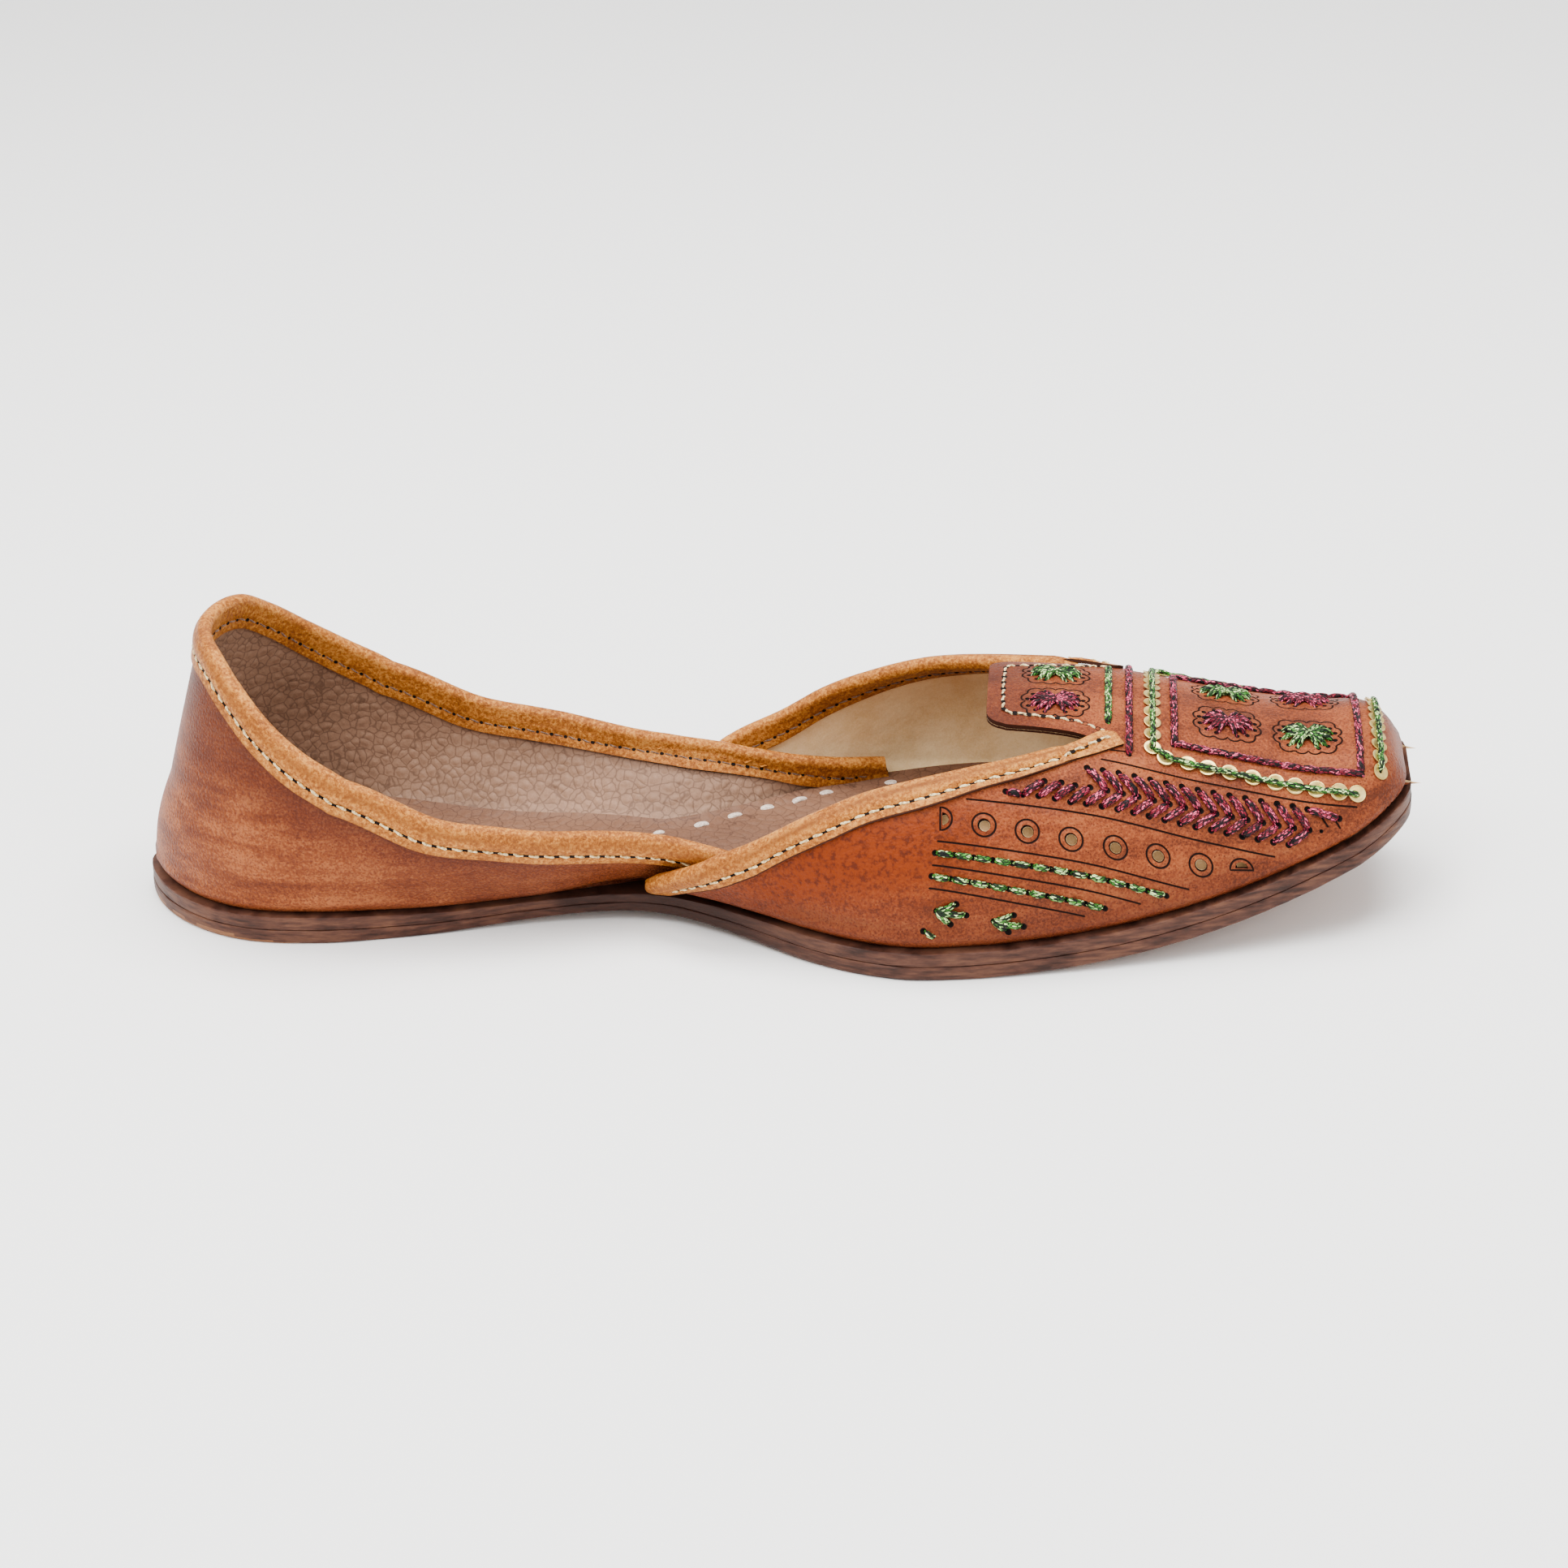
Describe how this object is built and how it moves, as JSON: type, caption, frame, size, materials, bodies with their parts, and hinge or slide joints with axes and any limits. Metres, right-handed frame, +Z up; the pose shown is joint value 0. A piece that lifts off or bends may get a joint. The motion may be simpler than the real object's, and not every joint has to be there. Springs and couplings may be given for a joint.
{
  "type": "mojari shoe",
  "caption": "Flat leather slip-on shoe with a squared upturned toe, a square tongue on the vamp, a raised heel quarter, bound edges and an open low-cut top.",
  "frame": {"origin": "middle of the shoe's length and width, on the plane that the sole rests on", "axes": "+X from heel to toe, +Y to the left of someone looking from heel to toe, +Z up"},
  "size_m": [0.26, 0.0858, 0.0614],
  "materials": {
    "upper_leather": "burnished smooth leather, brushed brown over tan",
    "binding_leather": "thin tan leather strip with fine grain",
    "sole_leather": "dark stained stacked leather",
    "lining_leather": "pebbled taupe lining leather",
    "thread": "twisted metallic thread and cotton stitching",
    "sequin": "pale gold stamped discs"
  },
  "bodies": {
    "root": {"outsole": "sole_leather", "midsole": "sole_leather", "insole": "lining_leather", "quarter": "upper_leather", "vamp": "upper_leather", "quarter_binding": "binding_leather", "vamp_binding_left": "binding_leather", "vamp_binding_right": "binding_leather"}
  },
  "joints": []
}
